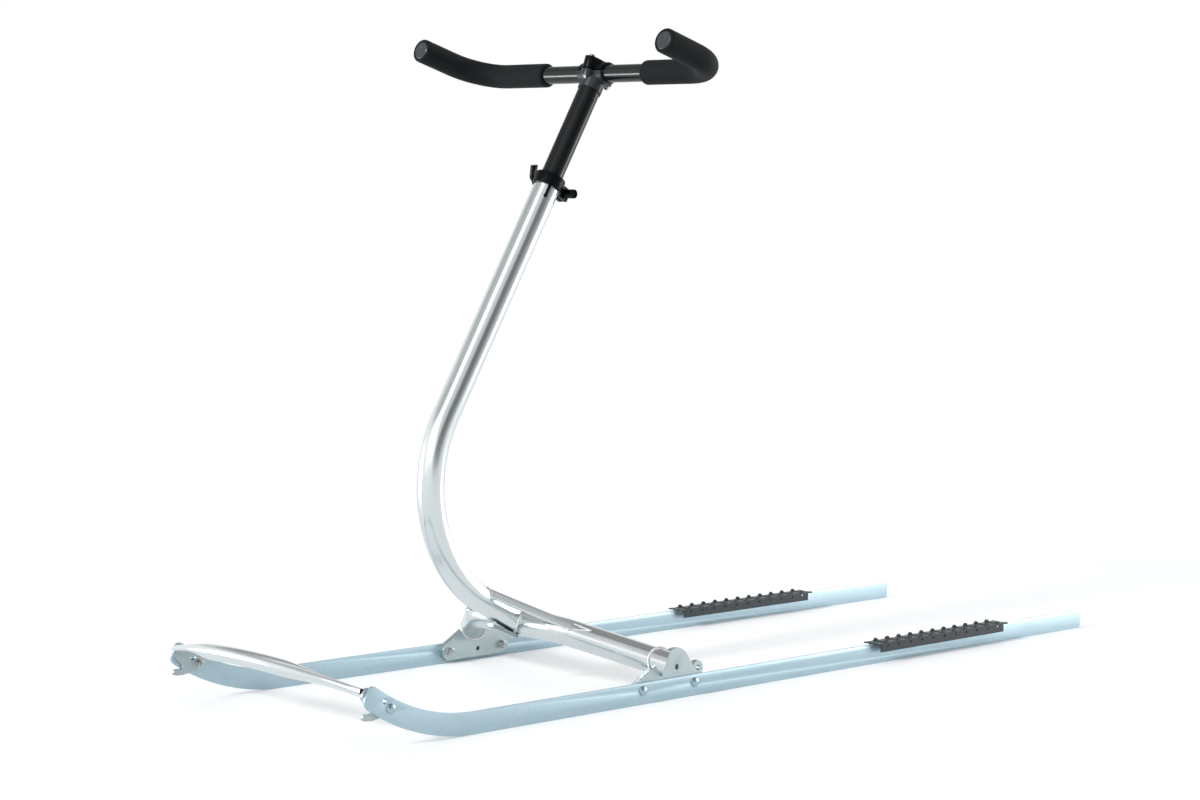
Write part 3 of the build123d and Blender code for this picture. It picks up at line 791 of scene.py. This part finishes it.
def front_bow():
    """The bow: round in the middle and pressed flat towards its ends."""
    ahead = Vector((cos(BOW_RISE), 0, sin(BOW_RISE)))
    normal = Vector((-sin(BOW_RISE), 0, cos(BOW_RISE)))
    ends = Vector((BOW_END[0], 0, BOW_END[1]))
    middle = ends + ahead * (BOW_SAG - BOW_RADIUS)
    half_turn = asin(BOW_HALF / BOW_RADIUS)
    start = middle + (ahead * cos(half_turn) + Vector((0, 1, 0)) * sin(half_turn)) * BOW_RADIUS
    heading = ahead * sin(half_turn) - Vector((0, 1, 0)) * cos(half_turn)
    tube = Tube(start, heading, BOW_R)
    tube.cap()
    tube.turn(2 * half_turn, BOW_RADIUS, -normal, steps=120)
    tube.cap()
    for vert in tube.bm.verts:
        away = vert.co - middle
        high = away.dot(normal)
        flat = away - normal * high
        out = flat.length - BOW_RADIUS
        across = abs(BOW_RADIUS * flat.y / flat.length)
        share = min(1.0, max(0.0, (across - BOW_ROUND_TO) / (BOW_FLAT_FROM - BOW_ROUND_TO)))
        share = share * share * (3 - 2 * share)
        power = 2 / (2 + BOW_SQUARE * share)
        wide = BOW_R + (BOW_FLAT[0] / 2 - BOW_R) * share
        tall = BOW_R + (BOW_FLAT[1] / 2 - BOW_R) * share
        new_out = wide * (abs(out) / BOW_R) ** power * (1 if out > 0 else -1)
        new_high = tall * (abs(high) / BOW_R) ** power * (1 if high > 0 else -1)
        vert.co = middle + flat.normalized() * (BOW_RADIUS + new_out) + normal * new_high
    bmesh.ops.bisect_plane(
        tube.bm, geom=list(tube.bm.verts) + list(tube.bm.edges) + list(tube.bm.faces),
        plane_co=(0, BOW_HALF, 0), plane_no=(0, 1, 0), clear_outer=True,
    )
    piece("bow_bar", tube.bm, BOW_METAL, "frame", ["front_bow"], sharp=40)


# Collar, post, clamp and handlebar

def quick_release():
    """The collar, its lever and washer, and the skewer, whose nut is grooved and dimpled at its end."""
    rounded_copy("collar_ring", "post_collar", BLACK_CAST, "frame", edge=0.7, segments=3)
    rounded_copy("lever_arm", "collar_lever", LEVER_BLACK, "frame", edge=0.6, segments=3)
    lugs = HEAD_PLACE @ Matrix.Translation((LUG_X, 0, -COLLAR_MIDDLE))
    across = lugs @ Matrix.Rotation(-pi / 2, 4, "X")
    end = LUG_OUT + NUT_LENGTH
    rod = ((0, CAM_Y), (SKEWER_R, CAM_Y), (SKEWER_R, LUG_OUT))
    nut_and_groove = (
        (NUT_R - 0.4, LUG_OUT), (NUT_R, LUG_OUT + 0.4), (NUT_R, LUG_OUT + 4.6), (NUT_R - 0.7, LUG_OUT + 5.2),
        (NUT_R - 0.7, LUG_OUT + 6.2), (NUT_R, LUG_OUT + 6.8), (NUT_R, end - 0.9), (NUT_R - 0.9, end),
    )
    dimple = (
        (NUT_R - 1.8, end), (NUT_R - 2.2, end - 0.4), (NUT_R - 2.6, end - 2.4), (1.9, end - 2.4),
        (1.6, end - 1.2), (0, end - 1.0),
    )
    skewer = turned((*rod, *nut_and_groove, *dimple), across)
    piece("skewer_rod", skewer, BLACK_CAST, "frame", ["collar_skewer"])
    rounded_copy("lever_washer", "collar_washer", BLACK_PART, "frame", edge=0.15)


def post_tube():
    """The sliding post, with a chamfer at its lower end."""
    tube = Tube(HEAD - MAST_UP * POST_END, MAST_UP, POST_R - POST_CHAMFER)
    tube.cap()
    tube.step(POST_CHAMFER, POST_R)
    tube.run(POST_END - POST_TOP - POST_CHAMFER, steps=8)
    tube.cap()
    piece("post_tube", tube.bm, BLACK_TUBE, "post", ["post"], sharp=40)


def bar_clamp():
    """The two halves of the bar's clamp, their three screws and nuts, and the screw in the nose."""
    rounded_copy("clamp_lower", "clamp_body", GREY_CAST, "post", edge=0.8, segments=3)
    rounded_copy("clamp_upper", "clamp_cap", BLACK_CAST, "post", edge=0.8, segments=3)
    grip = CAP_HIGH + EAR_LOW + CLAMP_SCREW_PAST
    for index, (ahead, across) in enumerate(CLAMP_BOLTS):
        head = CLAMP_PLACE @ Matrix.Translation((ahead, across, CAP_HIGH))
        screw = cap_screw(head, *CLAMP_SCREW, grip)
        piece(f"clamp_bolt_{index + 1}", screw, DARK_BOLT, "post")
        under = CLAMP_PLACE @ Matrix.Translation((ahead, across, -EAR_LOW)) @ Matrix.Rotation(pi, 4, "X")
        nut = hex_nut(under, *CLAMP_NUT)
        piece(f"clamp_nut_{index + 1}", nut, BOLT_METAL, "post")
    front = CLAMP_PLACE @ Matrix.Translation((NOSE[0], 0, NOSE[1])) @ Matrix.Rotation(pi / 2, 4, "Y")
    nose_screw = cap_screw(front, *NOSE_SCREW, NOSE_SCREW_GRIP)
    piece("nose_screw", nose_screw, BOLT_METAL, "post")


HORN_AHEAD = Vector((cos(HORN_RISE), 0, sin(HORN_RISE)))
HORN_UP = Vector((-sin(HORN_RISE), 0, cos(HORN_RISE)))


def bar_tube():
    """The handlebar: its straight middle and a horn turned ahead at each end."""
    corner = HEAD + Vector((0, BAR_STRAIGHT + HORN_R, 0))
    end = corner + HORN_AHEAD * (HORN_R + HORN_LENGTH - PLUG_HEAD)
    tube = Tube(end, -HORN_AHEAD, BAR_R)
    tube.cap()
    tube.run(HORN_LENGTH - PLUG_HEAD, steps=2)
    tube.turn(pi / 2, HORN_R, HORN_UP)
    tube.run(2 * BAR_STRAIGHT, steps=12)
    tube.turn(pi / 2, HORN_R, HORN_UP)
    tube.run(HORN_LENGTH - PLUG_HEAD, steps=2)
    tube.cap()
    piece("bar_tube", tube.bm, BAR_BLACK, "bar", ["handlebar"], sharp=40)


def grip(side, name):
    """A foam grip: rounded at its inner end, round the horn's bend, and open at its mouth."""
    across = Vector((0, side, 0))
    steps, dent_scale, dent_depth = 6, 0.045, 0.22
    tube = Tube(HEAD + across * GRIP_START, across, BAR_R + GRIP_FIT, sides=96)
    for k in range(steps + 1):
        angle = k / steps * pi / 2
        ring_r = GRIP_R - GRIP_ROUND + GRIP_ROUND * sin(angle)
        ahead = GRIP_ROUND * (1 - cos(angle)) - (tube.centre - HEAD).length + GRIP_START
        tube.step(ahead, ring_r)
    tube.run(BAR_STRAIGHT - GRIP_START - GRIP_ROUND, steps=40)
    tube.turn(pi / 2, HORN_R, -HORN_UP * side, steps=50)
    tube.run(HORN_LENGTH - GRIP_ROUND, steps=24)
    last = tube.centre.copy()
    for k in range(1, steps + 1):
        angle = k / steps * pi / 2
        gone = (tube.centre - last).length
        tube.step(GRIP_ROUND * sin(angle) - gone, GRIP_R - GRIP_ROUND + GRIP_ROUND * cos(angle))
    tube.step(-PLUG_HEAD - 1, BAR_R + GRIP_FIT)
    for vert in tube.bm.verts:
        place = vert[tube.unrolled] / MM
        if place.xy.length < GRIP_R - 1:
            continue
        dent = noise.noise(place * dent_scale + Vector((7 * side, 3, 1)))
        vert.co += vert.normal * dent * dent_depth
    made = piece(f"grip_foam_{name}", tube.bm, FOAM, "bar", [f"grip_{name}"], sharp=50)


def plug(side, name):
    """The plug in a horn's end, a shallow dish in a rounded disc."""
    corner = HEAD + Vector((0, side * (BAR_STRAIGHT + HORN_R), 0))
    end = corner + HORN_AHEAD * (HORN_R + HORN_LENGTH)
    place = Matrix.Translation(end) @ HORN_AHEAD.to_track_quat("Z", "Y").to_matrix().to_4x4()
    profile = (
        (0, -0.5), (5.0, -0.5), (5.6, -0.1), (11.6, 0.0), (12.5, -0.5), (12.65, -1.2), (12.65, -3.0),
        (0, -3.0),
    )
    disc = turned(profile, place)
    piece(f"end_plug_{name}", disc, PLUG_GREY, "bar", [f"bar_plug_{name}"])


for side, name in SIDES:
    runner_blade(side, name)
    for made, node, finish, slot, edge in (
        ("tread_channel", "tread", TREAD_BLACK, "black_plastic", 0.35),
        ("bracket_plate", "bracket", FRAME_PLATE, "satin_aluminium", 0.5),
        ("hook", "bow_hook", FRAME_PLATE, "satin_aluminium", 0.35),
    ):
        rounded_copy(f"{made}_{name}", f"{node}_{name}", finish, "frame", edge)
    brace_bar(side, name)
    leg_weld(side, name)
    for index, (x, z) in enumerate(BOLTS):
        through_bolt(side, f"bracket_{name}_{index + 1}", x, z, PLATE_IN)
    through_bolt(side, f"tip_{name}", *on_curve(*TIP_BOLT), PLATE_Y - HOOK_T)
    grip(side, name)
    plug(side, name)
mast_tube()
foot_weld()
cross_member()
rounded_copy("towing_tongue", "tow_eye", FRAME_PLATE, "frame", edge=0.5)
front_bow()
quick_release()
post_tube()
bar_clamp()
bar_tube()


# Floor, light and camera

WHITE = 1.0
ROOM_LIGHT = 0.62  # on what isn't glossy
# What the metal sees in a white room: azimuth from the sled's front towards its left and height, in
# degrees, how many degrees off that the patch begins and is full, and its brightness. The first is the
# ceiling
REFLECTED = (
    (0, 90, 62, 44, 0.34),
    (-104, 52, 36, 18, 0.36),
    (-55, 62, 40, 18, 0.46),
    (19, 49, 16, 9, 1.15),
    (104, 14, 36, 18, 0.40),
    (78, 34, 42, 22, 0.20),
    (168, -4, 34, 16, 2.6),
)


def floor():
    """A pale matt floor that keeps the sled's shadow and is nearly white to the camera."""
    bm = bmesh.new()
    bmesh.ops.create_grid(bm, x_segments=2, y_segments=2, size=60.0)
    mesh = bpy.data.meshes.new("floor")
    bm.to_mesh(mesh)
    bm.free()
    look = Finish("pale_floor", (0.86, 0.88, 0.89), metal=0.0, rough=0.9)
    look.set(look.shader, "Specular IOR Level", 0.1)
    look.set(look.shader, "Emission Color", (1, 1, 1, 1))
    rays = look.nodes.new("ShaderNodeLightPath")
    look.link(look.ramp(rays.outputs["Is Camera Ray"], 0, 1, 0, 0.15), look.shader, "Emission Strength")
    mesh.materials.append(look.material)
    add("floor", mesh)


def studio():
    """A white room to the camera, with an even light and, in the metal, the patches of REFLECTED."""
    world = bpy.data.worlds.new("studio")
    bpy.context.scene.world = world
    world.use_nodes = True
    nodes, links = world.node_tree.nodes, world.node_tree.links
    nodes.clear()

    def node(kind, **values):
        """A new node with some of its settings."""
        made = nodes.new(kind)
        for key, value in values.items():
            setattr(made, key, value)
        return made

    def toward(azimuth, height, outer, inner):
        """How near the view is to a direction: from none at outer degrees off it to all at inner."""
        turn, rise = radians(azimuth), radians(height)
        near = node("ShaderNodeVectorMath", operation="DOT_PRODUCT")
        links.new(coordinates.outputs["Generated"], near.inputs[0])
        near.inputs[1].default_value = (cos(turn) * cos(rise), sin(turn) * cos(rise), sin(rise))
        step = node("ShaderNodeMapRange", interpolation_type="SMOOTHSTEP")
        links.new(near.outputs["Value"], step.inputs["Value"])
        step.inputs["From Min"].default_value = cos(radians(outer))
        step.inputs["From Max"].default_value = cos(radians(inner))
        return step.outputs["Result"]

    def mix(factor, first, second):
        """From the first brightness to the second, each a number or a node's output."""
        made = node("ShaderNodeMix", data_type="FLOAT")
        links.new(factor, made.inputs["Factor"])
        for socket, value in ((made.inputs[2], first), (made.inputs[3], second)):
            if isinstance(value, float):
                socket.default_value = value
            else:
                links.new(value, socket)
        return made.outputs[0]

    coordinates = node("ShaderNodeTexCoord")
    rays = node("ShaderNodeLightPath")
    tone = WHITE
    for azimuth, height, outer, inner, strength in REFLECTED:
        tone = mix(toward(azimuth, height, outer, inner), tone, strength)
    light = mix(rays.outputs["Is Glossy Ray"], ROOM_LIGHT, tone)
    light = mix(rays.outputs["Is Camera Ray"], light, WHITE)
    light = mix(rays.outputs["Is Transmission Ray"], light, WHITE)
    background = node("ShaderNodeBackground")
    background.inputs["Color"].default_value = (1, 1, 1, 1)
    links.new(light, background.inputs["Strength"])
    output = node("ShaderNodeOutputWorld")
    links.new(background.outputs["Background"], output.inputs["Surface"])


def lamp(name, source, spread, strength):
    """A distant soft lamp, so that the floor is evenly lit, with a weak glint in the metal."""
    data = bpy.data.lights.new(name, "SUN")
    data.angle = radians(spread)
    data.energy = strength
    data.specular_factor = 0.25
    made = add(name, data)
    made.rotation_mode = "QUATERNION"
    made.rotation_quaternion = (-Vector(source)).to_track_quat("-Z", "Y")


def panel(name, place, target, width, height, brightness):
    """A bright panel at a place that faces a target, which only reflections show."""
    data = bpy.data.lights.new(name, "AREA")
    data.shape = "RECTANGLE"
    data.size, data.size_y = width, height
    data.energy = brightness * pi * width * height
    made = add(name, data)
    made.rotation_mode = "QUATERNION"
    made.location = TO_FRAME @ Vector(place)
    made.rotation_quaternion = (Vector(target) - Vector(place)).to_track_quat("-Z", "Y")
    made.visible_camera = made.visible_diffuse = made.visible_transmission = False


# The camera was solved from the photo: its place in the sled's drawing, its turns, and its focal
# length in pixels of the 1200-pixel frame
CAMERA_PLACE = (2534.9, 2662.4, 691.9)
CAMERA_YAW, CAMERA_PITCH, CAMERA_ROLL = radians(45.177), radians(4.405), radians(1.067)
FOCAL_PIXELS, FRAME_PIXELS = 2589.97, 1200


def camera():
    """The photo's camera."""
    data = bpy.data.cameras.new("camera")
    data.sensor_width = 36.0
    data.lens = FOCAL_PIXELS / FRAME_PIXELS * data.sensor_width
    made = add("camera", data)
    level = cos(CAMERA_PITCH)
    look = Vector((-cos(CAMERA_YAW) * level, -sin(CAMERA_YAW) * level, -sin(CAMERA_PITCH)))
    right = look.cross(Vector((0, 0, 1))).normalized()
    up = right.cross(look)
    across = right * cos(CAMERA_ROLL) + up * sin(CAMERA_ROLL)
    upward = up * cos(CAMERA_ROLL) - right * sin(CAMERA_ROLL)
    turn = Matrix((across, upward, -look)).transposed().to_4x4()
    made.matrix_world = Matrix.Translation(TO_FRAME @ Vector(CAMERA_PLACE)) @ turn
    bpy.context.scene.camera = made


floor()
studio()
lamp("key_light", (0.5, -0.9, 2.2), 40, 0.15)
lamp("front_light", (1.0, 0.03, 0.50), 7, 2.0)
lamp("fill_light", (1.6, 1.2, 1.6), 60, 0.4)
panel("low_panel", (1700.0, -1950.0, 290.0), (0.0, 0.0, 400.0), 1.2, 0.56, 13.0)
panel("rear_panel", (-2600.0, 1300.0, 320.0), (-900.0, 100.0, 20.0), 1.0, 0.62, 9.0)
camera()
bpy.context.scene.view_settings.view_transform = "Standard"
